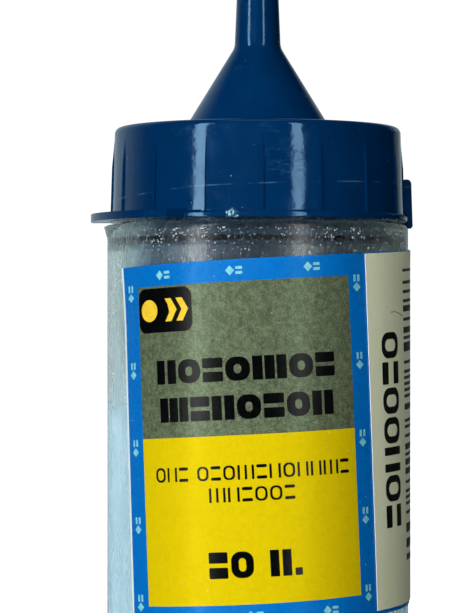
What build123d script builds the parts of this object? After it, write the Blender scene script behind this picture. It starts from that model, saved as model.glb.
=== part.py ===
from build123d import *
from math import cos, pi, radians, sin, tan
import os

# Refill bottle for marking chalk: a clear jar of powder under a screw closure with a pouring spout.
# Millimetres and degrees. +Z runs up the bottle's axis from the centre of its base, the label faces -Y,
# and +X is at the right of someone who reads it. A bearing is an angle about the axis, from the front
# (-Y) towards +X, which is anticlockwise from above.

# Jar
jar_r = 19.0
jar_wall = 1.0
floor_thickness = 1.3
base_round = 1.6
shoulder_top = 53.85
shoulder_round = 0.8
shoulder_inside = 51.2
neck_r = 16.2
neck_bore_r = 15.0
rim_top = 63.4
stack_groove_r = 14.0
stack_groove_width = 1.2
stack_groove_depth = 0.35

# Nib on the shoulder, under the thumb lug: a crescent, because it is turned about an axis of its own
nib_r = 16.0
nib_proud = 0.42
nib_bottom = 52.0
nib_height = 53.55
nib_root_depth = 0.4

# Screw thread, one start, right-handed
thread_pitch = 3.0
thread_turns = 1.25
thread_root_width = 1.4
thread_crest_width = 0.6
thread_sink = 0.3
neck_thread_crest_r = 16.9
neck_thread_start = 57.3
cap_thread_crest_r = 16.5
cap_thread_drop = 1.12

# Powder and papers
powder_gap = 0.05
powder_level = 31.5
powder_heap = 0.9
label_thickness = 0.12
label_tilt = 3.0
label_height = 44.3
label_middle = 27.05
label_left = -57.1
label_right = 169.9
band_spans = 3
sticker_height = 43.7
sticker_left = 45.5
sticker_right = 126.7
adhesive_thickness = 0.02

# Liner
liner_outer_r = 16.9
liner_bore_r = 12.0
liner_thickness = 1.2
liner_gap = 0.05

# Closure
cap_bore_r = 17.25
flange_bottom = 54.1
flange_top = 54.95
flange_r = 18.9
skirt_bottom_r = 18.4
skirt_top_r = 18.05
cap_ceiling = rim_top + liner_thickness + 2 * liner_gap
cap_top = 66.1
rim_round = 0.8
cone_base_r = 9.2
cone_wall = 1.1
cone_half_angle = 31.6
spout_base_r = 2.92
spout_tip_r = 2.11
spout_top = 96.0
spout_bore_r = 1.7
spout_mouth_r = 1.3

# Grip ribs on the skirt
rib_count = 16
rib_bearing = 1.1
rib_width = 0.4
rib_proud = 0.22
rib_full_height = 61.0
rib_fade = 3.4

# Thumb lug on the flange
lug_r = 21.1
lug_start = -97.0
lug_end = -32.0
lug_end_slant = 5.0
lug_bottom = 54.16
lug_top = 55.12

# Latch, and the web on the flange that carries it
latch_start = 105.0
latch_span = 28.0
latch_top = 59.9
latch_foot = 53.55
latch_inner_r = 19.5
latch_outer_r = 20.45
latch_foot_r = 20.65
latch_thin_r = 20.0
web_span = 10.0
web_thickness = 0.5
pivot_r = 19.8
pivot_height = 54.5
pivot_gap = 0.07

# Tip cap
tip_bottom = 88.5
tip_top = 97.8
tip_bottom_r = 3.15
tip_top_r = 2.85
tip_collar_r = 3.5
tip_collar_height = 0.7
tip_gap = 0.06
tip_roof = 96.15
tip_pin_r = 1.12
tip_pin_length = 1.8
tip_rib_count = 12
tip_rib_width = 0.35
tip_rib_proud = 0.15


def turned(*corners):
    """Closed half profile in the XZ plane, from (radius, height, corner rounding) triples."""
    with BuildSketch(Plane.XZ) as sketch:
        with BuildLine():
            FilletPolyline(
                [(r, z) for r, z, _ in corners],
                radius=[rounding for _, _, rounding in corners],
                close=True,
            )
        make_face()
    return sketch.sketch


def direction(bearing):
    """Unit vector that points out from the axis at a bearing."""
    return Vector(sin(radians(bearing)), -cos(radians(bearing)), 0)


def radial_plane(bearing):
    """Plane through the axis: its x runs outwards at the bearing, and its y runs up."""
    outwards = direction(bearing)
    return Plane(origin=(0, 0, 0), x_dir=outwards, z_dir=outwards.cross(Vector(0, 0, 1)))


def thread_ridge(root_r, crest_r, start_height):
    """One helical ridge, its flanks carried on a little way into the wall that it stands on."""
    depth = crest_r - root_r
    sink = -thread_sink if depth > 0 else thread_sink
    half_crest = thread_crest_width / 2
    half_sunk = half_crest + (thread_root_width / 2 - half_crest) * (depth - sink) / depth
    with BuildPart() as ridge:
        with BuildLine() as path:
            Helix(thread_pitch, thread_pitch * thread_turns, root_r, center=(0, 0, start_height))
        start = path.line @ 0
        section_plane = Plane(origin=start, x_dir=(start.X, start.Y, 0), z_dir=path.line % 0)
        with BuildSketch(section_plane):
            with BuildLine():
                Polyline(
                    (sink, -half_sunk),
                    (depth, -half_crest),
                    (depth, half_crest),
                    (sink, half_sunk),
                    close=True,
                )
            make_face()
        sweep(path=path.line, is_frenet=True)
    return ridge.part


def tilted_span(inner_r, left, width, height):
    """Piece of thin band on the jar that is tilted as the label is: higher towards the right."""
    rise_per_degree = tan(radians(label_tilt)) * inner_r * pi / 180
    with BuildPart() as span:
        with BuildLine() as path:
            Helix(
                rise_per_degree * 360,
                rise_per_degree * width,
                inner_r,
                center=(0, 0, label_middle + rise_per_degree * left),
            )
        start = path.line @ 0
        section_plane = Plane(origin=start, x_dir=(start.X, start.Y, 0), z_dir=path.line % 0)
        with BuildSketch(section_plane):
            with Locations((label_thickness / 2, 0)):
                Rectangle(label_thickness, height)
        sweep(path=path.line, is_frenet=True)
    return span.part.rotate(Axis.Z, left - 90)


def tilted_band(inner_r, left, right, height):
    """Thin tilted band between two bearings, as one solid made of a few short spans."""
    width = (right - left) / band_spans
    spans = [tilted_span(inner_r, left + index * width, width, height) for index in range(band_spans)]
    with BuildPart() as band:
        add(spans)
    return band.part


def skirt_r(height):
    """Outer radius of the closure's drafted skirt."""
    share = (height - flange_top) / (cap_top - flange_top)
    return skirt_bottom_r + (skirt_top_r - skirt_bottom_r) * share


def spout_r(height):
    """Outer radius of the drafted spout."""
    share = (height - spout_base) / (spout_top - spout_base)
    return spout_base_r + (spout_tip_r - spout_base_r) * share


# Where the cone meets the spout, outside and inside
cone_slope = tan(radians(cone_half_angle))
spout_base = cap_top + (cone_base_r - spout_base_r) / cone_slope
cone_bore_r = cone_base_r - cone_wall / cos(radians(cone_half_angle)) + (cap_top - cap_ceiling) * cone_slope
bore_base = cap_ceiling + (cone_bore_r - spout_bore_r) / cone_slope

# Nib: a disc whose edge passes the jar's wall only on the left, with all that is inside the wall cut away
with BuildPart() as shoulder_nib:
    nib_centre = nib_r - jar_r - nib_proud
    with BuildSketch(Plane.XZ):
        with BuildLine():
            Polyline(
                (nib_centre, nib_bottom),
                (nib_centre - nib_r + nib_proud, nib_bottom),
                (nib_centre - nib_r, nib_height),
                (nib_centre - nib_r + nib_proud, shoulder_top - 0.1),
                (nib_centre, shoulder_top - 0.1),
                close=True,
            )
        make_face()
    revolve(axis=Axis((nib_centre, 0, 0), (0, 0, 1)))
    with BuildSketch(Plane.XY.offset(nib_bottom)):
        Circle(jar_r - nib_root_depth)
    extrude(amount=shoulder_top - nib_bottom, mode=Mode.SUBTRACT)

# Jar
with BuildPart() as jar_body:
    revolve(
        turned(
            (0, 0, 0),
            (jar_r, 0, base_round),
            (jar_r, shoulder_top, shoulder_round),
            (neck_r, shoulder_top, 0),
            (neck_r, rim_top, 0.3),
            (neck_bore_r, rim_top, 0.3),
            (neck_bore_r, shoulder_top - 0.9, 0.8),
            (jar_r - jar_wall, shoulder_inside, 1.5),
            (jar_r - jar_wall, floor_thickness, base_round - jar_wall / 2),
            (0, floor_thickness, 0),
        ),
        axis=Axis.Z,
    )
    add(thread_ridge(neck_r, neck_thread_crest_r, neck_thread_start))
    add(shoulder_nib.part)
    with BuildSketch(Plane.XY):
        Circle(stack_groove_r + stack_groove_width / 2)
        Circle(stack_groove_r - stack_groove_width / 2, mode=Mode.SUBTRACT)
    extrude(amount=stack_groove_depth, mode=Mode.SUBTRACT)

# Powder, settled with a low heap in the middle
with BuildPart() as chalk_powder:
    powder_r = jar_r - jar_wall - powder_gap
    with BuildSketch(Plane.XZ):
        with BuildLine():
            Polyline(
                (0, powder_level + powder_heap),
                (0, floor_thickness + powder_gap),
                (powder_r - base_round, floor_thickness + powder_gap),
                (powder_r, floor_thickness + powder_gap + base_round),
                (powder_r, powder_level),
            )
            Spline(
                (powder_r, powder_level),
                (powder_r * 0.55, powder_level + powder_heap * 0.45),
                (0, powder_level + powder_heap),
                tangents=((-1, 0), (-1, 0)),
            )
        make_face()
    revolve(axis=Axis.Z)

# Papers
with BuildPart() as wrap_label:
    add(tilted_band(jar_r, label_left, label_right, label_height))

with BuildPart() as barcode_sticker:
    sticker_inner_r = jar_r + label_thickness + adhesive_thickness
    add(tilted_band(sticker_inner_r, sticker_left, sticker_right, sticker_height))

# Liner
with BuildPart() as seal_liner:
    liner_bottom = rim_top + liner_gap
    with BuildSketch(Plane.XY.offset(liner_bottom)):
        Circle(liner_outer_r)
        Circle(liner_bore_r, mode=Mode.SUBTRACT)
    extrude(amount=liner_thickness)

# One grip rib, in its own plane, fading into the skirt at its top
with BuildPart() as grip_rib:
    with BuildSketch(radial_plane(rib_bearing)):
        with BuildLine():
            Polyline(
                (cap_bore_r + 0.3, flange_top - 0.1),
                (skirt_r(flange_top) + rib_proud, flange_top - 0.1),
                (skirt_r(rib_full_height) + rib_proud, rib_full_height),
                (skirt_r(rib_full_height + rib_fade), rib_full_height + rib_fade),
                (cap_bore_r + 0.3, rib_full_height + rib_fade),
                close=True,
            )
        make_face()
    extrude(amount=rib_width / 2, both=True)

# Closure
with BuildPart() as spout_cap:
    revolve(
        turned(
            (cap_bore_r, flange_bottom, 0.15),
            (flange_r, flange_bottom, 0.25),
            (flange_r, flange_top, 0.25),
            (skirt_bottom_r, flange_top, 0.15),
            (skirt_top_r, cap_top, rim_round),
            (cone_base_r, cap_top, 0.6),
            (spout_base_r, spout_base, 2.0),
            (spout_tip_r, spout_top, 0.25),
            (spout_mouth_r, spout_top, 0.15),
            (spout_bore_r, bore_base, 1.5),
            (cone_bore_r, cap_ceiling, 0.4),
            (cap_bore_r, cap_ceiling, 0.3),
        ),
        axis=Axis.Z,
    )
    with PolarLocations(0, rib_count):
        add(grip_rib.part)
    add(thread_ridge(cap_bore_r, cap_thread_crest_r, neck_thread_start - cap_thread_drop))
    # Thumb lug: a ring sector whose right end slants back to the flange
    with BuildSketch(Plane.XY.offset(lug_bottom)):
        with BuildLine():
            lug_inner_r = skirt_bottom_r - 0.4
            outer_arc = CenterArc((0, 0), lug_r, lug_start - 90, lug_end - lug_start)
            inner_arc = CenterArc((0, 0), lug_inner_r, lug_start - 90, lug_end + lug_end_slant - lug_start)
            Line(outer_arc @ 0, inner_arc @ 0)
            Line(outer_arc @ 1, inner_arc @ 1)
        make_face()
    extrude(amount=lug_top - lug_bottom)
    # Web that carries the latch, with a rounded end to turn on
    web_bearing = latch_start + latch_span / 2
    with BuildSketch(radial_plane(web_bearing - web_span / 2)):
        with Locations(((pivot_r + flange_r - 0.5) / 2, pivot_height)):
            Rectangle(pivot_r - flange_r + 0.5, web_thickness)
        with Locations((pivot_r, pivot_height)):
            Circle(web_thickness / 2)
    revolve(axis=Axis.Z, revolution_arc=web_span)

# Latch
with BuildPart() as cap_latch:
    with BuildSketch(radial_plane(latch_start)):
        with BuildLine():
            FilletPolyline(
                [
                    (latch_inner_r, latch_top),
                    (latch_outer_r, latch_top),
                    (latch_foot_r, latch_foot + 0.3),
                    (latch_foot_r - 0.3, latch_foot),
                    (latch_thin_r - 0.1, flange_bottom - 0.1),
                    (latch_thin_r, flange_top + 0.2),
                    (latch_inner_r, flange_top + 0.6),
                ],
                radius=[0.2, 0.6, 0.1, 0.1, 0.1, 0.2, 0.2],
                close=True,
            )
        make_face()
        with Locations((pivot_r, pivot_height)):
            Circle(web_thickness / 2 + pivot_gap, mode=Mode.SUBTRACT)
    revolve(axis=Axis.Z, revolution_arc=latch_span)

# Tip cap
with BuildPart() as tip_rib:
    with BuildSketch(radial_plane(0)):
        with BuildLine():
            Polyline(
                (tip_top_r - 0.3, tip_bottom + 0.1),
                (tip_bottom_r + tip_rib_proud, tip_bottom + 0.1),
                (tip_top_r + tip_rib_proud, tip_top - 1.2),
                (tip_top_r - 0.3, tip_top - 0.8),
                close=True,
            )
        make_face()
    extrude(amount=tip_rib_width / 2, both=True)

with BuildPart() as tip_cap:
    revolve(
        turned(
            (0, tip_top, 0),
            (tip_top_r, tip_top, 0.5),
            (tip_bottom_r, tip_bottom + tip_collar_height, 0),
            (tip_collar_r, tip_bottom + tip_collar_height, 0.2),
            (tip_collar_r, tip_bottom, 0.2),
            (spout_r(tip_bottom) + tip_gap, tip_bottom, 0.1),
            (spout_r(tip_roof) + tip_gap, tip_roof, 0),
            (tip_pin_r, tip_roof, 0),
            (tip_pin_r - 0.1, tip_roof - tip_pin_length, 0.2),
            (0, tip_roof - tip_pin_length, 0),
        ),
        axis=Axis.Z,
    )
    with PolarLocations(0, tip_rib_count):
        add(tip_rib.part)

os.makedirs("parts", exist_ok=True)
pieces = {
    "jar_body": jar_body,
    "chalk_powder": chalk_powder,
    "wrap_label": wrap_label,
    "barcode_sticker": barcode_sticker,
    "seal_liner": seal_liner,
    "spout_cap": spout_cap,
    "cap_latch": cap_latch,
    "tip_cap": tip_cap,
}
for name, piece in pieces.items():
    piece.part.label = name
    export_step(piece.part, f"parts/{name}.step")
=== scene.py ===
import math
import random

import bmesh
import bpy
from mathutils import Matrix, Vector, noise


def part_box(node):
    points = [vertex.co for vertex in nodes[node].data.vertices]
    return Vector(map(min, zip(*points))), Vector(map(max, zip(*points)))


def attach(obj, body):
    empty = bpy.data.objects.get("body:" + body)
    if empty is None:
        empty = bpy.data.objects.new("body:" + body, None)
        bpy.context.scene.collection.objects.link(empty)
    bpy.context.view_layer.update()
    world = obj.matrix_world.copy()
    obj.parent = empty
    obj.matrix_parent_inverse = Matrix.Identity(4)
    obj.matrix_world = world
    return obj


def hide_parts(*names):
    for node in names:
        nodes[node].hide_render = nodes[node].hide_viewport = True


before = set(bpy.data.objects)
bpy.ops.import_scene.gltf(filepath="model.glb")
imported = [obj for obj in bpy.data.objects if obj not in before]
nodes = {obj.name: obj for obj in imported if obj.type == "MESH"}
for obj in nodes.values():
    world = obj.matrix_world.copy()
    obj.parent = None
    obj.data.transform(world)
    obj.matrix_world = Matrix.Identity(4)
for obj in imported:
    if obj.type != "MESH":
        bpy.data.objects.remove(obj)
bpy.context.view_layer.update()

# The label, the sticker and what is printed on them are laid out flat, in millimetres: across runs round
# the jar from the line that faces forward, up runs from the label's middle, and depth stands out of the jar.
MM = 0.001
JAR_R = 19.0
JAR_BORE_R = 18.0
LABEL_TILT = math.radians(3.0)
LABEL_MIDDLE = 27.05
LABEL_TURN = 0.64
PAPER = 0.12
LABEL_DEPTH = 0.01
STICKER_DEPTH = 0.15
INK = 0.012

# Marks on the closure: where the mould's seam is, in degrees from the front, and the torn nick in its flange
SEAM_BEARING = -56.2
NICK = (-3.2, -18.65, 54.62)


# ---------------------------------------------------------------- node graphs

def rgb(red, green, blue):
    """Linear colour from 8-bit display values."""
    linear = []
    for value in (red, green, blue):
        share = value / 255
        linear.append(share / 12.92 if share <= 0.04045 else ((share + 0.055) / 1.055) ** 2.4)
    return (*linear, 1.0)


class Graph:
    """One material's nodes: a Principled surface, and calls that add texture nodes in front of it."""

    def __init__(self, name, roughness=0.5, **sockets):
        self.material = bpy.data.materials.new(name)
        self.material.use_nodes = True
        self.tree = self.material.node_tree
        self.tree.nodes.clear()
        self.output = self.tree.nodes.new("ShaderNodeOutputMaterial")
        self.surface = self.tree.nodes.new("ShaderNodeBsdfPrincipled")
        self.tree.links.new(self.surface.outputs[0], self.output.inputs["Surface"])
        self.set("Roughness", roughness)
        for socket, value in sockets.items():
            self.set(socket.replace("_", " "), value)
        place = self.tree.nodes.new("ShaderNodeTexCoord")
        self.place = self.vector("SCALE", place.outputs["Object"], scale=1000.0)

    def feed(self, socket, value):
        if isinstance(value, bpy.types.NodeSocket):
            self.tree.links.new(value, socket)
        else:
            socket.default_value = value

    def set(self, socket, value):
        self.feed(self.surface.inputs[socket], value)

    def add(self, kind, feeds, **settings):
        node = self.tree.nodes.new("ShaderNode" + kind)
        for key, value in settings.items():
            setattr(node, key, value)
        for key, value in feeds.items():
            self.feed(node.inputs[key], value)
        return node

    def vector(self, operation, first, second=None, scale=None):
        feeds = {0: first}
        if second is not None:
            feeds[1] = second
        if scale is not None:
            feeds["Scale"] = scale
        node = self.add("VectorMath", feeds, operation=operation)
        return node.outputs["Value" if operation in ("LENGTH", "DISTANCE") else "Vector"]

    def math(self, operation, first, second=0.5, third=0.5, clamp=False):
        feeds = {0: first, 1: second, 2: third}
        return self.add("Math", feeds, operation=operation, use_clamp=clamp).outputs[0]

    def stretched(self, along_x, along_y, along_z):
        return self.vector("MULTIPLY", self.place, (along_x, along_y, along_z))

    def noise(self, scale, detail=3.0, roughness=0.55, place=None, distortion=0.0):
        feeds = {
            "Vector": place or self.place,
            "Scale": scale,
            "Detail": detail,
            "Roughness": roughness,
            "Distortion": distortion,
        }
        return self.add("TexNoise", feeds).outputs["Fac"]

    def grains(self, scale, place=None, randomness=1.0):
        """(distance to the nearest grain's centre, a random number for that grain)."""
        feeds = {"Vector": place or self.place, "Scale": scale, "Randomness": randomness}
        node = self.add("TexVoronoi", feeds, feature="F1")
        number = self.add("SeparateColor", {0: node.outputs["Color"]}).outputs[0]
        return node.outputs["Distance"], number

    def remap(self, value, low, high, to_low=0.0, to_high=1.0):
        feeds = {0: value, 1: low, 2: high, 3: to_low, 4: to_high}
        return self.add("MapRange", feeds, clamp=True, interpolation_type="SMOOTHSTEP").outputs[0]

    def mix(self, share, first, second, blend="MIX"):
        node = self.add("Mix", {}, data_type="RGBA", blend_type=blend)
        self.feed(node.inputs[0], share)
        self.feed(node.inputs[6], first)
        self.feed(node.inputs[7], second)
        return node.outputs[2]

    def ramp(self, value, stops):
        node = self.add("ValToRGB", {0: value})
        for index, (position, colour) in enumerate(stops):
            if index < 2:
                stop = node.color_ramp.elements[index]
                stop.position = position
            else:
                stop = node.color_ramp.elements.new(position)
            stop.color = colour
        return node.outputs[0]

    def bump(self, height, distance, strength=1.0, under=None):
        feeds = {"Height": height, "Distance": distance * MM, "Strength": strength}
        if under is not None:
            feeds["Normal"] = under
        return self.add("Bump", feeds).outputs[0]

    def parts(self):
        node = self.add("SeparateXYZ", {0: self.place})
        return node.outputs[0], node.outputs[1], node.outputs[2]

    def bearing(self):
        """Degrees about the axis, from the front towards +X."""
        x, y, _ = self.parts()
        turned = self.math("ARCTAN2", x, self.math("MULTIPLY", y, -1.0))
        return self.math("DEGREES", turned)


# ---------------------------------------------------------------- materials

def cap_plastic(name, smoothest, roughest, gloss):
    """Navy moulded plastic, with a seam, flow streaks, dust, fine scratches, a painted reflection line
    across the skirt, and a torn nick whose facets are partly whitened and partly painted glints.
    """
    g = Graph(name, IOR=1.49, Specular_Tint=rgb(165, 220, 255), Specular_IOR_Level=gloss)
    x, _, z = g.parts()
    clouds = g.noise(0.09, 4.0)
    colour = g.mix(g.remap(clouds, 0.3, 0.7), rgb(0, 44, 87), rgb(1, 49, 96))
    streaks = g.noise(1.0, 3.0, place=g.stretched(0.9, 0.9, 0.05))
    colour = g.mix(g.remap(streaks, 0.55, 0.8, 0.0, 0.35), colour, rgb(6, 60, 108))
    seam = g.math("LESS_THAN", g.math("ABSOLUTE", g.math("ADD", g.bearing(), -SEAM_BEARING)), 0.22)
    # A light line across the front of the skirt, drawn like a faint scuff: a painted reflection.
    bend = g.math("MULTIPLY", g.math("MINIMUM", g.math("ADD", x, 8.0), 0.0), 0.08)
    reflection_line_height = g.math("ADD", g.math("MULTIPLY_ADD", x, 0.035, 58.25), bend)
    reflection_line = g.remap(g.math("ABSOLUTE", g.math("SUBTRACT", z, reflection_line_height)), 0.0, 0.14, 1.0, 0.0)
    reflection_line = g.math("MULTIPLY", reflection_line, g.remap(g.noise(0.25, 3.0), 0.42, 0.62))

    near, number = g.grains(0.62)
    size = g.remap(number, 0.55, 1.0, 0.0, 0.085)
    speck = g.math("LESS_THAN", near, size)
    fine, fine_number = g.grains(1.7)
    fine_speck = g.math("LESS_THAN", fine, g.remap(fine_number, 0.8, 1.0, 0.0, 0.1))
    dust = g.math("MAXIMUM", speck, g.math("MULTIPLY", fine_speck, 0.55))

    hair = g.noise(0.7, 2.0, place=g.stretched(0.25, 0.25, 2.6), distortion=1.2)
    off_line = g.math("ABSOLUTE", g.math("SUBTRACT", hair, 0.5))
    scratch = g.math("SUBTRACT", 1.0, g.math("MULTIPLY", off_line, 160.0))
    patchy = g.remap(g.noise(0.22, 1.0), 0.56, 0.66)
    scratch = g.math("MULTIPLY", g.math("MAXIMUM", scratch, 0.0), patchy)

    nick_place = g.vector("DISTANCE", g.place, NICK)
    torn = g.math("ADD", nick_place, g.math("MULTIPLY", g.noise(3.2, 4.0, 0.7), 1.5))
    nick = g.remap(torn, 1.35, 1.6, 1.0, 0.0)
    # The nick's facets run at random from navy to near white: plastic whitened where it tore, and painted
    # glints.
    _, facet = g.grains(3.6)
    whitened_facets_and_glints = g.mix(g.remap(facet, 0.25, 0.75), rgb(10, 84, 134), rgb(190, 236, 240))

    colour = g.mix(g.math("MULTIPLY", seam, 0.6), colour, rgb(0, 16, 40))
    colour = g.mix(g.math("MULTIPLY", scratch, 0.22), colour, rgb(60, 120, 165))
    # The painted reflection line.
    colour = g.mix(g.math("MULTIPLY", reflection_line, 0.22), colour, rgb(120, 170, 200))
    colour = g.mix(g.math("MULTIPLY", dust, 0.6), colour, rgb(120, 165, 195))
    # The torn nick, with whitened facets and painted glints.
    g.set("Base Color", g.mix(g.math("MULTIPLY", nick, 0.9), colour, whitened_facets_and_glints))

    worn = g.noise(0.45, 4.0)
    rough = g.remap(worn, 0.35, 0.75, smoothest, roughest)
    rough = g.math("MAXIMUM", rough, g.math("MULTIPLY", g.math("MAXIMUM", dust, nick), 0.6))
    g.set("Roughness", rough)
    peel = g.noise(1.1, 3.0, 0.5)
    normal = g.bump(peel, 0.05, 0.35)
    normal = g.bump(g.math("SUBTRACT", g.math("SUBTRACT", dust, scratch), seam), 0.02, 0.5, normal)
    normal = g.bump(g.math("MULTIPLY", nick, g.noise(5.0, 3.0)), 0.2, 1.0, normal)
    g.set("Normal", normal)
    return g.material


def jar_plastic():
    """Clear plastic with a little haze. Lamps shine through it, so what is inside is lit."""
    g = Graph("clear_plastic", roughness=0.1, IOR=1.45, Transmission_Weight=1.0)
    g.set("Base Color", rgb(236, 244, 243))
    haze = g.noise(0.6, 4.0, place=g.stretched(1.0, 1.0, 0.12))
    g.set("Roughness", g.remap(haze, 0.35, 0.75, 0.24, 0.34))
    ripples = g.noise(0.5, 2.0, place=g.stretched(1.0, 1.0, 0.15))
    g.set("Normal", g.bump(ripples, 0.01, 0.5))
    lets_light = g.add("BsdfTransparent", {"Color": rgb(240, 246, 245)})
    path = g.add("LightPath", {})
    mixed = g.add("MixShader", {})
    g.feed(mixed.inputs[0], path.outputs["Is Shadow Ray"])
    g.feed(mixed.inputs[1], g.surface.outputs[0])
    g.feed(mixed.inputs[2], lets_light.outputs[0])
    g.feed(g.output.inputs["Surface"], mixed.outputs[0])
    return g.material


def dust_and_painted_light_film():
    """Chalk dust that clings to the inside of the jar, on a thin sheet that also carries painted light and
    shade: paler towards the jar's sides, darkest at the front, lighter at the shoulder and dark under the
    flange.
    """
    g = Graph("dust_and_painted_light_film", roughness=0.9, Specular_IOR_Level=0.1)
    turn = g.math("DIVIDE", g.math("ADD", g.bearing(), 180.0), 360.0)
    # Paler towards the jar's sides and darkest at the front: painted light and shade, standing in for the
    # haze of the clear wall at its sides.
    painted_side_light = g.ramp(turn, [
        (0.0, rgb(92, 112, 122)),
        (0.2, rgb(196, 216, 212)),
        (0.28, rgb(184, 206, 204)),
        (0.335, rgb(128, 150, 156)),
        (0.37, rgb(62, 82, 100)),
        (0.43, rgb(38, 56, 74)),
        (0.5, rgb(20, 34, 50)),
        (0.6, rgb(38, 52, 60)),
        (0.67, rgb(76, 92, 92)),
        (0.71, rgb(140, 158, 146)),
        (0.76, rgb(166, 184, 168)),
        (1.0, rgb(92, 112, 122)),
    ])
    _, _, z = g.parts()
    cloud = g.noise(0.3, 5.0, 0.6)
    grain = g.noise(2.6, 3.0, 0.6)
    settled = g.math("MULTIPLY_ADD", cloud, 9.0, z)
    colour = g.mix(g.remap(cloud, 0.5, 0.75, 0.0, 0.25), painted_side_light, rgb(34, 46, 62))
    colour = g.mix(g.remap(grain, 0.5, 0.8, 0.0, 0.2), colour, rgb(150, 172, 184))
    colour = g.mix(g.remap(settled, 46.0, 36.5, 0.0, 0.9), colour, rgb(182, 207, 220))
    # Lighter where the film turns in at the shoulder: painted light over the shade in the turn.
    shoulder_painted_light = g.math("MULTIPLY", g.remap(z, 50.9, 51.4, 0.0, 0.28), g.remap(z, 53.0, 52.6))
    colour = g.mix(shoulder_painted_light, colour, rgb(84, 110, 132))
    # Darker at the very top, under the closure's flange: painted shade.
    g.set("Base Color", g.mix(g.remap(z, 53.0, 53.8, 0.0, 0.5), colour, rgb(14, 24, 30)))
    g.set("Normal", g.bump(g.math("ADD", cloud, grain), 0.05, 0.5))
    return g.material


def chalk():
    """Pale blue powder pressed against the wall, with pores and a few smudges."""
    g = Graph("blue_chalk", roughness=0.95, Specular_IOR_Level=0.1)
    broad = g.noise(0.16, 4.0, 0.6)
    fine = g.noise(2.4, 5.0, 0.7)
    colour = g.mix(g.remap(broad, 0.35, 0.7), rgb(184, 210, 222), rgb(198, 220, 230))
    colour = g.mix(g.remap(fine, 0.3, 0.75, 0.0, 0.25), colour, rgb(162, 190, 216))
    smudge = g.noise(0.55, 3.0, 0.6, distortion=0.6)
    colour = g.mix(g.remap(smudge, 0.62, 0.74, 0.0, 0.5), colour, rgb(132, 148, 184))
    near, number = g.grains(1.1)
    pore = g.math("LESS_THAN", near, g.remap(number, 0.7, 1.0, 0.0, 0.1))
    colour = g.mix(g.math("MULTIPLY", pore, 0.7), colour, rgb(70, 90, 105))
    g.set("Base Color", colour)
    g.set("Normal", g.bump(g.math("SUBTRACT", fine, pore), 0.08, 0.7))
    return g.material


def grain_paint():
    g = Graph("chalk_grain", roughness=0.9, Specular_IOR_Level=0.1)
    _, number = g.grains(0.9)
    g.set("Base Color", g.mix(number, rgb(170, 188, 200), rgb(250, 254, 255)))
    return g.material


def liner_foam():
    g = Graph("liner_foam", roughness=0.8)
    cells, number = g.grains(2.2)
    g.set("Base Color", g.mix(g.remap(number, 0.0, 1.0), rgb(228, 228, 222), rgb(240, 240, 236)))
    g.set("Normal", g.bump(cells, 0.12, 0.6))
    return g.material


def printed_paper(name, colour, mottle, share, sheen=(1, 1, 1, 1), roughness=0.3):
    """Coated label stock: a printed colour with the mottle of cheap ink, over fibres and small dents."""
    g = Graph(name, roughness=roughness, IOR=1.45, Specular_IOR_Level=0.42, Specular_Tint=sheen)
    soft = g.noise(1.6, 4.0, 0.7)
    fine = g.noise(5.5, 3.0, 0.7)
    mixed = g.math("MULTIPLY_ADD", soft, 0.45, g.math("MULTIPLY", fine, 0.55))
    tone = g.mix(g.remap(mixed, 0.4, 0.62, 0.0, share), colour, mottle)
    near, number = g.grains(1.3)
    speck = g.math("LESS_THAN", near, g.remap(number, 0.8, 1.0, 0.0, 0.12))
    g.set("Base Color", g.mix(g.math("MULTIPLY", speck, 0.35), tone, rgb(225, 230, 225)))
    g.set("Roughness", g.remap(g.noise(0.7, 3.0), 0.3, 0.7, roughness - 0.05, roughness + 0.08))
    dents = g.bump(g.noise(0.28, 3.0), 0.12, 0.6)
    g.set("Normal", g.bump(fine, 0.012, 0.5, dents))
    return g.material


def ink(name, colour, other, roughness=0.3):
    g = Graph(name, roughness=roughness, IOR=1.45, Specular_IOR_Level=0.18)
    g.set("Base Color", g.mix(g.remap(g.noise(2.2, 3.0), 0.35, 0.7), colour, other))
    g.set("Normal", g.bump(g.noise(3.0, 2.0), 0.01, 0.5))
    return g.material


def thermal_paper():
    """Cream sticker stock: faint upright streaks, fibres and a few marks from handling."""
    g = Graph("sticker_paper", roughness=0.42, IOR=1.45)
    streak = g.noise(0.8, 4.0, 0.6, place=g.stretched(1.0, 1.0, 0.06))
    fibre = g.noise(4.0, 3.0, 0.7)
    colour = g.mix(g.remap(streak, 0.35, 0.7), rgb(246, 254, 212), rgb(252, 255, 222))
    colour = g.mix(g.remap(fibre, 0.5, 0.75, 0.0, 0.25), colour, rgb(214, 226, 194))
    near, number = g.grains(0.8)
    mark = g.math("LESS_THAN", near, g.remap(number, 0.85, 1.0, 0.0, 0.08))
    g.set("Base Color", g.mix(g.math("MULTIPLY", mark, 0.4), colour, rgb(120, 125, 105)))
    dents = g.bump(g.noise(0.3, 3.0), 0.1, 0.5)
    g.set("Normal", g.bump(fibre, 0.01, 0.5, dents))
    return g.material


def floor_paint():
    """Pale paint that glows, and more so far off, so that the floor ends in the white behind it."""
    g = Graph("studio_floor", roughness=0.9)
    g.set("Base Color", rgb(246, 246, 246))
    g.set("Emission Color", rgb(255, 255, 255))
    away = g.vector("LENGTH", g.place)
    g.set("Emission Strength", g.remap(away, 60.0, 500.0, 0.75, 1.0))
    g.set("Normal", g.bump(g.noise(0.05, 3.0), 0.2, 0.1))
    return g.material


# ---------------------------------------------------------------- shapes

def wrapped(across, up, depth):
    """The point of the flat layout that is across, up and depth, on the jar. In metres."""
    round_jar = LABEL_TURN + across * math.cos(LABEL_TILT) - up * math.sin(LABEL_TILT)
    height = LABEL_MIDDLE + across * math.sin(LABEL_TILT) + up * math.cos(LABEL_TILT)
    angle = round_jar / JAR_R
    out = JAR_R + depth
    return Vector((out * math.sin(angle), -out * math.cos(angle), height)) * MM


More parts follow.
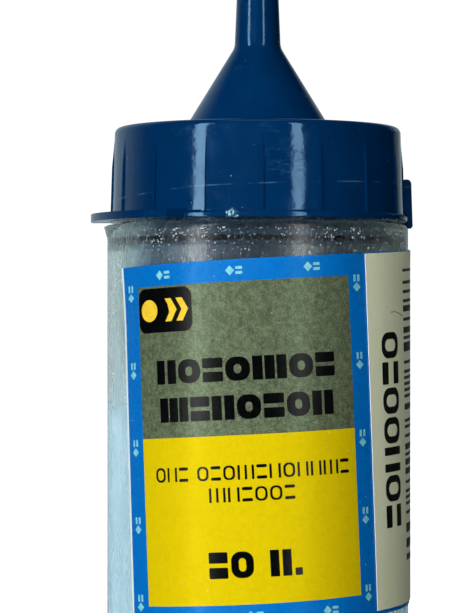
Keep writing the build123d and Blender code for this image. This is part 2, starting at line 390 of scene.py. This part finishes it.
def finished(name, mesh, materials, body, smooth=True):
    """A new piece of the object, which rides on a body and takes its finish from a slot."""
    piece = bpy.data.objects.new(name, mesh)
    bpy.context.scene.collection.objects.link(piece)
    for material in materials:
        mesh.materials.append(material)
    mesh.polygons.foreach_set("use_smooth", [smooth] * len(mesh.polygons))
    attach(piece, body)
    return piece


def stops_between(low, high, cuts, step):
    """Grid lines from low to high: every cut, and enough others that no gap is over a step."""
    edges = sorted({low, high, *(cut for cut in cuts if low < cut < high)})
    lines = []
    for start, end in zip(edges, edges[1:]):
        pieces = max(1, math.ceil((end - start) / step))
        lines += [start + (end - start) * index / pieces for index in range(pieces)]
    return lines + [high]


def paper_sheet(name, extent, regions, depth, lift, materials, body):
    """A closed sheet of paper on the jar. Its regions are (left, right, bottom, top, material index), the
    later over the earlier, and its edges are all of the last material."""
    left, right, bottom, top = extent
    columns = stops_between(left, right, [r[0] for r in regions] + [r[1] for r in regions], 0.7)
    rows = stops_between(bottom, top, [r[2] for r in regions] + [r[3] for r in regions], 1.2)
    edge = len(materials) - 1
    vertices = []
    for layer in (0.0, PAPER):
        for up in rows:
            for across in columns:
                vertices.append(wrapped(across, up, depth + layer + lift(across, up)))
    wide, tall = len(columns), len(rows)
    back = wide * tall
    faces, paints = [], []
    for row in range(tall - 1):
        for column in range(wide - 1):
            corner = row * wide + column
            square = (corner, corner + 1, corner + 1 + wide, corner + wide)
            across = (columns[column] + columns[column + 1]) / 2
            up = (rows[row] + rows[row + 1]) / 2
            paint = 0
            for low_x, high_x, low_y, high_y, index in regions:
                if low_x < across < high_x and low_y < up < high_y:
                    paint = index
            faces.append(tuple(back + index for index in square))
            paints.append(paint)
            faces.append(tuple(reversed(square)))
            paints.append(edge)
    rim = [column for column in range(wide)]
    rim += [row * wide + wide - 1 for row in range(1, tall)]
    rim += [(tall - 1) * wide + column for column in range(wide - 2, -1, -1)]
    rim += [row * wide for row in range(tall - 2, 0, -1)]
    for here, there in zip(rim, rim[1:] + rim[:1]):
        faces.append((here, there, there + back, here + back))
        paints.append(edge)
    mesh = bpy.data.meshes.new(name)
    mesh.from_pydata(vertices, [], faces)
    mesh.update()
    piece = finished(name, mesh, materials, body)
    mesh.polygons.foreach_set("material_index", paints)
    mark_sharp(mesh)
    return piece


def mark_sharp(mesh, degrees=40):
    """Edges between faces that turn more than this stay sharp."""
    shape = bmesh.new()
    shape.from_mesh(mesh)
    for edge in shape.edges:
        edge.smooth = len(edge.link_faces) == 2 and edge.calc_face_angle(0) < math.radians(degrees)
    shape.to_mesh(mesh)
    shape.free()


def rounded_box(across, up, width, height, corner, steps=4):
    """Outline of a box about a centre, with round corners, anticlockwise."""
    corner = min(corner, width / 2, height / 2)
    outline = []
    for quarter, (side, end) in enumerate([(1, -1), (1, 1), (-1, 1), (-1, -1)]):
        centre_x = across + side * (width / 2 - corner)
        centre_y = up + end * (height / 2 - corner)
        for step in range(steps + 1):
            angle = math.radians(-90 + 90 * quarter + 90 * step / steps)
            outline.append((centre_x + corner * math.cos(angle), centre_y + corner * math.sin(angle)))
    return outline


class Print:
    """Flat shapes that become one thin raised layer of ink on the jar."""

    def __init__(self):
        self.shape = bmesh.new()

    def blob(self, outline, paint, raised=0.0):
        vertices = [self.shape.verts.new((x, y, raised)) for x, y in outline]
        face = self.shape.faces.new(vertices)
        face.material_index = paint

    def ring(self, outer, inner, paint, raised=0.0):
        out = [self.shape.verts.new((x, y, raised)) for x, y in outer]
        into = [self.shape.verts.new((x, y, raised)) for x, y in inner]
        for index in range(len(out)):
            after = (index + 1) % len(out)
            face = self.shape.faces.new((out[index], out[after], into[after], into[index]))
            face.material_index = paint

    def box(self, across, up, width, height, paint, corner=0.1, raised=0.0):
        self.blob(rounded_box(across, up, width, height, corner), paint, raised)

    def piece(self, name, depth, lift, materials, body, slot):
        """Cuts the shapes so that they can bend, gives them a thickness and wraps them."""
        shape = self.shape
        lows = [vertex.co.x for vertex in shape.verts]
        cut, end = math.floor(min(lows)) + 0.5, max(lows)
        while cut < end:
            everything = shape.verts[:] + shape.edges[:] + shape.faces[:]
            bmesh.ops.bisect_plane(shape, geom=everything, plane_co=(cut, 0, 0), plane_no=(1, 0, 0))
            cut += 0.5
        bmesh.ops.recalc_face_normals(shape, faces=shape.faces[:])
        for face in shape.faces[:]:
            if face.normal.z < 0:
                face.normal_flip()
        bmesh.ops.solidify(shape, geom=shape.faces[:], thickness=INK)
        for vertex in shape.verts:
            across, up, raised = vertex.co
            vertex.co = wrapped(across, up, depth + lift(across, up) + raised)
        bmesh.ops.triangulate(shape, faces=[f for f in shape.faces if len(f.verts) > 4])
        bmesh.ops.recalc_face_normals(shape, faces=shape.faces[:])
        mesh = bpy.data.meshes.new(name)
        shape.to_mesh(mesh)
        shape.free()
        return finished(name, mesh, materials, body, smooth=False)


def lathe(name, profile, segments, materials, body, wobble=None):
    """A closed or open profile of (radius, height) pairs in millimetres, turned about the axis."""
    vertices, faces, rings = [], [], []
    for radius, height in profile:
        if radius < 1e-6:
            rings.append([len(vertices)])
            vertices.append((0, 0, height))
            continue
        rings.append(list(range(len(vertices), len(vertices) + segments)))
        for step in range(segments):
            angle = 2 * math.pi * step / segments
            vertices.append((radius * math.cos(angle), radius * math.sin(angle), height))
    for below, above in zip(rings, rings[1:]):
        for step in range(segments):
            after = (step + 1) % segments
            if len(below) == 1:
                faces.append((below[0], above[after], above[step]))
            elif len(above) == 1:
                faces.append((below[step], below[after], above[0]))
            else:
                faces.append((below[step], below[after], above[after], above[step]))
    points = [Vector(point) for point in vertices]
    if wobble:
        points = [wobble(point) for point in points]
    mesh = bpy.data.meshes.new(name)
    mesh.from_pydata([point * MM for point in points], [], faces)
    mesh.update()
    return finished(name, mesh, materials, body)


def filleted(corners, steps=6):
    """Profile through (radius, height, rounding) corners, with an arc at each rounded one."""
    points = []
    for index, (radius, height, rounding) in enumerate(corners):
        here = Vector((radius, height))
        if rounding == 0 or index in (0, len(corners) - 1):
            points.append((radius, height))
            continue
        before = (Vector(corners[index - 1][:2]) - here).normalized()
        after = (Vector(corners[index + 1][:2]) - here).normalized()
        half = before.angle(after) / 2
        reach = rounding / math.tan(half)
        centre = here + (before + after).normalized() * (rounding / math.sin(half))
        start, end = here + before * reach - centre, here + after * reach - centre
        for step in range(steps + 1):
            spoke = start.lerp(end, step / steps).normalized() * rounding
            points.append(tuple(centre + spoke))
    return points


# ---------------------------------------------------------------- carried-over nodes


def paint(node, material):
    nodes[node].data.materials.clear()
    nodes[node].data.materials.append(material)


navy = cap_plastic("navy_plastic", 0.07, 0.16, 0.5)
for node in ("spout_cap", "tip_cap"):
    paint(node, navy)
paint("cap_latch", cap_plastic("worn_navy_plastic", 0.42, 0.56, 0.05))
paint("jar_body", jar_plastic())
paint("seal_liner", liner_foam())

# ---------------------------------------------------------------- powder, dust and painted light and shade inside the jar

powder_low, powder_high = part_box("chalk_powder")
FLOOR_TOP = powder_low.z / MM
POWDER_TOP = powder_high.z / MM - 0.9
POWDER_HEAP = 0.8
PRESSED = 0.03
SEGMENTS = 192


def lumpy(point):
    """Powder settles in lumps on top, and lies higher on one side."""
    if point.z < POWDER_TOP - 1.5:
        return point
    rough = noise.fractal(point * 0.35, 1.0, 2.1, 4) * 0.7
    fine = noise.noise(point * 1.7) * 0.15
    lean = 0.35 * point.x / JAR_BORE_R
    share = min(1.0, (point.z - POWDER_TOP + 1.5) / 1.5)
    return point + Vector((0, 0, (rough + fine - lean - 0.4) * share))


wall = JAR_BORE_R + PRESSED
powder_profile = filleted([
    (0, FLOOR_TOP, 0),
    (wall, FLOOR_TOP, 1.2),
    (wall, POWDER_TOP - 2.0, 0),
    (wall, POWDER_TOP, 0),
])
for share in (0.93, 0.86, 0.78, 0.7, 0.6, 0.5, 0.4, 0.3, 0.2, 0.1, 0.04):
    powder_profile.append((wall * share, POWDER_TOP + POWDER_HEAP * (1 - share)))
powder_profile.append((0, POWDER_TOP + POWDER_HEAP))
powder = lathe("powder_fill", powder_profile, SEGMENTS, [chalk()], "jar", lumpy)
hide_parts("chalk_powder")

neck_bore, shoulder = 15.0, 51.2
FILM = 0.015
film_r = JAR_BORE_R - 0.04
film_profile = filleted([
    (film_r, POWDER_TOP - 2.6, 0),
    (film_r, shoulder, 1.5),
    (neck_bore + PRESSED, 52.95, 0.8),
    (neck_bore + PRESSED, 62.8, 0),
])
film_back = [(radius - FILM, height) for radius, height in reversed(film_profile)]
lathe("dust_and_painted_light_film", film_profile + film_back + film_profile[:1], SEGMENTS, [dust_and_painted_light_film()], "jar")

# Grains of chalk over the powder, in drifts, on the jar's outer face, where its haze doesn't blur them
GRAIN_TOP, GRAIN_REACH, GRAIN_TRIES = 52.9, 22.0, 9000


def grain_template():
    """Points and triangles of one round grain of radius 1."""
    shape = bmesh.new()
    bmesh.ops.create_icosphere(shape, subdivisions=1, radius=1.0)
    shape.verts.index_update()
    points = [vertex.co.copy() for vertex in shape.verts]
    triangles = [[vertex.index for vertex in face.verts] for face in shape.faces]
    shape.free()
    return points, triangles


def clinging_grains():
    draw = random.Random(11)
    points, triangles = grain_template()
    vertices, faces = [], []
    for _ in range(GRAIN_TRIES):
        angle = math.radians(draw.uniform(-180, 180))
        height = GRAIN_TOP - GRAIN_REACH * draw.random() ** 1.7
        radius = draw.uniform(0.05, 0.1) * (1.5 if draw.random() < 0.2 else 1.0)
        out = Vector((math.sin(angle), -math.cos(angle), 0))
        centre = out * JAR_R + Vector((0, 0, height))
        drift = noise.fractal(centre * 0.28, 1.0, 2.0, 3)
        if draw.random() > 0.5 + 0.6 * drift:
            continue
        flat = radius * (1.0 - 0.35 * draw.random())
        start = len(vertices)
        for point in points:
            pressed = point - out * point.dot(out) * 0.7
            vertices.append((centre + pressed * flat) * MM)
        faces += [[start + index for index in triangle] for triangle in triangles]
    mesh = bpy.data.meshes.new("chalk_grains")
    mesh.from_pydata(vertices, [], faces)
    mesh.update()
    return finished("chalk_grains", mesh, [grain_paint()], "jar")


clinging_grains()

# ---------------------------------------------------------------- label

LABEL = (-19.55, 55.7, -22.15, 22.15)
MARGIN_RIGHT = -19.2
PANEL_LEFT, PANEL_RIGHT = -16.38, 11.85
GREY_TOP, GREY_BOTTOM, YELLOW_BOTTOM = 19.5, 0.97, -19.4
BACK_LEFT, BACK_RIGHT = 43.6, 53.4


def label_lift(across, up):
    """The label's top left corner has come unstuck and curls off the jar."""
    down = (LABEL[3] - up) / 9.0
    inwards = (across - LABEL[0]) / 3.2
    return 0.3 * max(0.0, 1.0 - down) ** 2 * max(0.0, 1.0 - inwards) ** 1.5


blue = printed_paper("blue_print", rgb(0, 110, 198), rgb(7, 128, 211), 0.5, rgb(120, 205, 255))
grey = printed_paper("grey_print", rgb(72, 83, 60), rgb(122, 135, 106), 0.8, rgb(225, 255, 215))
yellow = printed_paper("yellow_print", rgb(226, 202, 6), rgb(214, 188, 8), 0.6, rgb(255, 225, 40))
white = printed_paper("bare_paper", rgb(240, 250, 250), rgb(226, 238, 238), 0.5, roughness=0.5)
label_regions = [
    (LABEL[0], MARGIN_RIGHT, LABEL[2], LABEL[3], 3),
    (PANEL_LEFT, PANEL_RIGHT, GREY_BOTTOM, GREY_TOP, 1),
    (PANEL_LEFT, PANEL_RIGHT, YELLOW_BOTTOM, GREY_BOTTOM, 2),
    (BACK_LEFT, BACK_RIGHT, YELLOW_BOTTOM, GREY_TOP, 2),
]
label = paper_sheet(
    "printed_label",
    LABEL,
    label_regions,
    LABEL_DEPTH,
    label_lift,
    [blue, grey, yellow, white],
    "jar",
)
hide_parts("wrap_label")

# What is printed on the label: rows of plain blocks where the words are, and plain marks
BLACK, PALE, GOLD = 0, 1, 2
label_print = Print()


def glyph(kind, across, up, width, height, stroke, turned=False):
    """Shapes of one block of print about its centre: a loop, two or three bars, two steps or a dot."""
    def place(outline):
        if not turned:
            return outline
        return [(across - (y - up), up + (x - across)) for x, y in outline]

    corner = min(width, height) * 0.42
    if kind == "loop":
        outer = rounded_box(across, up, width, height, corner, 6)
        side = stroke * (0.85 if stroke > 0.5 else 1.0)
        inner = rounded_box(across, up, width - 2 * side, height - 1.7 * side, corner * 0.7, 6)
        return [("ring", place(outer), place(inner))]
    if kind in ("bars", "three"):
        side = (width - stroke) / 2
        shifts = (-side, side) if kind == "bars" else (-side, 0, side)
        return [("blob", place(rounded_box(across + shift, up, stroke, height, 0.05))) for shift in shifts]
    if kind == "steps":
        tall = min(height * 0.42, stroke * 1.35)
        rise = (height - tall) / 2
        return [
            ("blob", place(rounded_box(across, up + rise, width, tall, 0.15))),
            ("blob", place(rounded_box(across, up - rise, width, tall, 0.15))),
        ]
    return [("blob", place(rounded_box(across, up, width, height, 0.08)))]


WEIGHTS = {"loop": 1.05, "bars": 1.0, "three": 1.45, "steps": 0.9, "dot": 0.35, "space": 0.45}


def row_of_print(target, kinds, left, right, middle, height, stroke, gap, paint_index, turned=False):
    """Blocks of print from left to right. A space is a gap as wide as a block."""
    total = sum(WEIGHTS[kind] for kind in kinds)
    unit = (right - left - gap * (len(kinds) - 1)) / total
    at = left
    for kind in kinds:
        width = unit * WEIGHTS[kind]
        across, up, tall = at + width / 2, middle, height
        if kind == "dot":
            up, tall = middle - height / 2 + width / 2, width
        if turned:
            across, up = middle, at + width / 2
        if kind != "space":
            for call, *outlines in glyph(kind, across, up, width, tall, stroke, turned):
                getattr(target, call)(*outlines, paint_index)
        at += width + gap


title = ["bars", "loop", "steps", "loop", "three", "loop", "steps"]
row_of_print(label_print, title, -13.55, 9.3, 8.97, 2.9, 1.22, 0.3, BLACK)
title = ["three", "steps", "bars", "loop", "steps", "loop", "bars"]
row_of_print(label_print, title, -13.25, 8.9, 4.35, 2.95, 1.22, 0.3, BLACK)
words = ["loop", "bars", "steps", "space", "loop", "steps", "loop", "three", "steps", "bars"]
words += ["loop", "bars", "bars", "three", "steps"]
row_of_print(label_print, words, -14.3, 10.7, -3.5, 1.75, 0.29, 0.3, BLACK)
words = ["three", "bars", "steps", "loop", "loop", "steps"]
row_of_print(label_print, words, -7.05, 3.4, -6.15, 1.75, 0.29, 0.3, BLACK)
quantity = ["steps", "loop", "space", "bars", "dot"]
row_of_print(label_print, quantity, -7.5, 3.85, -14.6, 3.2, 1.1, 0.4, BLACK)

# The round-cornered tag at the panel's top left, with a plain disc and two chevrons
TAG_X, TAG_Y = -12.2, 16.55
label_print.box(TAG_X, TAG_Y, 8.2, 5.4, BLACK, 1.1)
disc = rounded_box(TAG_X - 2.25, TAG_Y, 2.7, 2.7, 1.35, 8)
label_print.blob(disc, GOLD, INK)
for shift in (0.5, 2.1):
    tip = TAG_X + shift + 1.2
    tail = TAG_X + shift - 0.2
    chevron = [
        (tail, TAG_Y - 1.4), (tail + 0.9, TAG_Y - 1.4), (tip + 0.3, TAG_Y),
        (tail + 0.9, TAG_Y + 1.4), (tail, TAG_Y + 1.4), (tip - 0.6, TAG_Y),
    ]
    label_print.blob(chevron, GOLD, INK)


def border_mark(across, up, upright):
    """A pale mark in the border: a diamond and two dashes."""
    shapes = [[(-1.0, 0), (-0.45, -0.6), (0.1, 0), (-0.45, 0.6)]]
    shapes += [rounded_box(0.65, side * 0.3, 0.85, 0.34, 0.1) for side in (-1, 1)]
    for outline in shapes:
        if upright:
            outline = [(-y, x) for x, y in outline]
        label_print.blob([(across + x, up + y) for x, y in outline], PALE)


for across in (-12.1, -2.65, 6.85):
    border_mark(across, 20.82, False)
    border_mark(across + 0.4, -20.78, False)
for step in range(5):
    border_mark(-17.85, 18.75 - 9.45 * step, True)
    border_mark(13.1, 18.5 - 9.45 * step, True)
    border_mark(42.6, 18.5 - 9.45 * step, True)
for step in range(9):
    line_end = BACK_RIGHT - 1.2 - (3.1 if step in (3, 8) else 0.0)
    line = (BACK_LEFT + 1.2 + line_end) / 2
    label_print.box(line, 16.5 - 2.1 * step, line_end - BACK_LEFT - 1.2, 0.55, BLACK, 0.2)
label_print.box((BACK_LEFT + BACK_RIGHT) / 2, -10.8, 6.4, 5.2, BLACK, 0.8)
label_print.box((BACK_LEFT + BACK_RIGHT) / 2, -10.8, 5.4, 4.2, GOLD, 0.5, INK)
label_print.piece(
    "label_print",
    LABEL_DEPTH + PAPER + INK * 0.7,
    label_lift,
    [
        ink("black_ink", rgb(1, 2, 3), rgb(7, 9, 11)),
        ink("pale_ink", rgb(118, 202, 222), rgb(146, 222, 222)),
        ink("gold_ink", rgb(250, 212, 60), rgb(238, 200, 50)),
    ],
    "jar",
    "label_paper",
)

# ---------------------------------------------------------------- sticker

STICKER = (14.56, 41.4, -21.65, 22.05)
BARS_LEFT, BARS_RIGHT, BARS_TOP, BARS_BOTTOM = 23.1, 36.0, 19.9, -16.4
MODULE = 0.3825


def sticker_lift(across, up):
    """The sticker's top edge stands off a little at the jar's right, and its left edge hardly at all."""
    down = max(0.0, 1.0 - (STICKER[3] - up) / 2.5)
    side = math.exp(-((across - 25.5) / 3.0) ** 2)
    left = max(0.0, 1.0 - (across - STICKER[0]) / 1.2)
    return 0.16 * down ** 2 * side + 0.03 * left ** 2


cream = thermal_paper()
sticker = paper_sheet(
    "price_sticker",
    STICKER,
    [(STICKER[0], STICKER[0] + 0.12, STICKER[2], STICKER[3], 1)],
    STICKER_DEPTH,
    sticker_lift,
    [cream, white],
    "jar",
)
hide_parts("barcode_sticker")

THERMAL, HAIR = 0, 1
sticker_print = Print()
digits = ["steps", "loop", "bars", "loop", "loop", "steps", "loop"]
row_of_print(sticker_print, digits, -11.8, 12.25, 19.0, 3.95, 1.0, 0.45, THERMAL, True)
draw = random.Random(5)
bars_middle, bars_wide = (BARS_LEFT + BARS_RIGHT) / 2, BARS_RIGHT - BARS_LEFT
at = BARS_BOTTOM
while at < BARS_TOP:
    width = MODULE * draw.choice((1, 1, 1, 2, 2, 3))
    width = min(width, BARS_TOP - at)
    if width > 0.1:
        sticker_print.box(bars_middle, at + width / 2, bars_wide, width, THERMAL, 0.03)
    at += width + MODULE * draw.choice((1, 1, 2, 2, 3))
hair = [(19.2, 14.72), (20.4, 14.75), (21.6, 14.5), (22.9, 14.05)]
hair += [(22.9, 13.98), (21.6, 14.42), (20.4, 14.68), (19.2, 14.66)]
sticker_print.blob(hair, HAIR)
sticker_print.piece(
    "sticker_print",
    STICKER_DEPTH + PAPER + INK * 0.7,
    sticker_lift,
    [
        ink("thermal_ink", rgb(14, 18, 16), rgb(30, 36, 32), 0.45),
        ink("fine_hair", rgb(90, 92, 80), rgb(70, 72, 64), 0.6),
    ],
    "jar",
    "sticker_paper",
)

# ---------------------------------------------------------------- studio

floor_mesh = bpy.data.meshes.new("studio_floor")
floor_mesh.from_pydata([(-6, -6, 0), (6, -6, 0), (6, 6, 0), (-6, 6, 0)], [], [(0, 1, 2, 3)])
floor_mesh.materials.append(floor_paint())
floor = bpy.data.objects.new("studio_floor", floor_mesh)
bpy.context.scene.collection.objects.link(floor)
floor.visible_glossy = False
floor.visible_diffuse = False

TARGET = Vector((0, 0, 0.045))


def area_light(name, bearing, distance, height, width, tall, power, colour=(1, 1, 1), mirrored=True):
    """A soft light at a bearing from the front towards +X, which faces the object."""
    lamp = bpy.data.lights.new(name, "AREA")
    lamp.shape = "RECTANGLE"
    lamp.size = width
    lamp.size_y = tall
    lamp.energy = power
    lamp.color = colour
    light = bpy.data.objects.new(name, lamp)
    angle = math.radians(bearing)
    light.location = (distance * math.sin(angle), -distance * math.cos(angle), height)
    light.rotation_euler = (TARGET - light.location).to_track_quat("-Z", "Y").to_euler()
    light.visible_glossy = mirrored
    light.visible_transmission = mirrored
    light.visible_camera = False
    bpy.context.scene.collection.objects.link(light)
    return light


area_light("strip_left", -46, 0.55, 0.07, 0.1, 0.8, 2.5)
area_light("strip_right", 31, 0.55, 0.07, 0.08, 0.8, 1.5)
area_light("fill_front", -22, 0.9, 0.1, 0.7, 0.6, 6.3, mirrored=False)
area_light("top", 170, 0.3, 0.8, 0.4, 0.3, 1.9, mirrored=False)


def studio_world():
    """White to the camera. To everything else, dark in front and bright behind, more so on the left."""
    world = bpy.data.worlds.new("studio")
    world.use_nodes = True
    tree = world.node_tree
    tree.nodes.clear()

    def add(kind, **inputs):
        node = tree.nodes.new("ShaderNode" + kind)
        for index, value in inputs.items():
            socket = node.inputs[int(index[1:])]
            if isinstance(value, bpy.types.NodeSocket):
                tree.links.new(value, socket)
            else:
                socket.default_value = value
        return node

    direction = add("TexCoord").outputs["Generated"]
    behind = add("VectorMath", i0=direction, i1=(-0.35, 0.94, 0.0))
    behind.operation = "DOT_PRODUCT"
    glow = add("MapRange", i0=behind.outputs["Value"], i1=0.4, i2=0.95, i3=0.0, i4=0.55)
    glow.interpolation_type = "SMOOTHSTEP"
    height = add("SeparateXYZ", i0=direction).outputs[2]
    above = add("MapRange", i0=height, i1=-0.12, i2=-0.02, i3=0.1, i4=1.0)
    strength = add("Math", i0=glow.outputs[0], i1=above.outputs[0])
    strength.operation = "MULTIPLY"
    overhead = add("MapRange", i0=height, i1=0.95, i2=0.99, i3=0.0, i4=0.6)
    strongest = add("Math", i0=strength.outputs[0], i1=overhead.outputs[0])
    strongest.operation = "MAXIMUM"
    lit = add("Background", i0=(0.72, 0.93, 1.0, 1.0), i1=strongest.outputs[0])
    seen = add("Background", i0=(1, 1, 1, 1), i1=1.05)
    to_camera = add("LightPath").outputs["Is Camera Ray"]
    choose = add("MixShader", i0=to_camera, i1=lit.outputs[0], i2=seen.outputs[0])
    add("OutputWorld", i0=choose.outputs[0])
    return world


scene = bpy.context.scene
scene.world = studio_world()
scene.view_settings.view_transform = "Standard"

camera_data = bpy.data.cameras.new("camera")
camera_data.sensor_width = 36.0
camera_data.lens = 179.1
camera = bpy.data.objects.new("camera", camera_data)
camera.location = (-0.0035, -0.3858, 0.0393)
camera.rotation_euler = (math.radians(90.63), 0, 0)
scene.collection.objects.link(camera)
scene.camera = camera
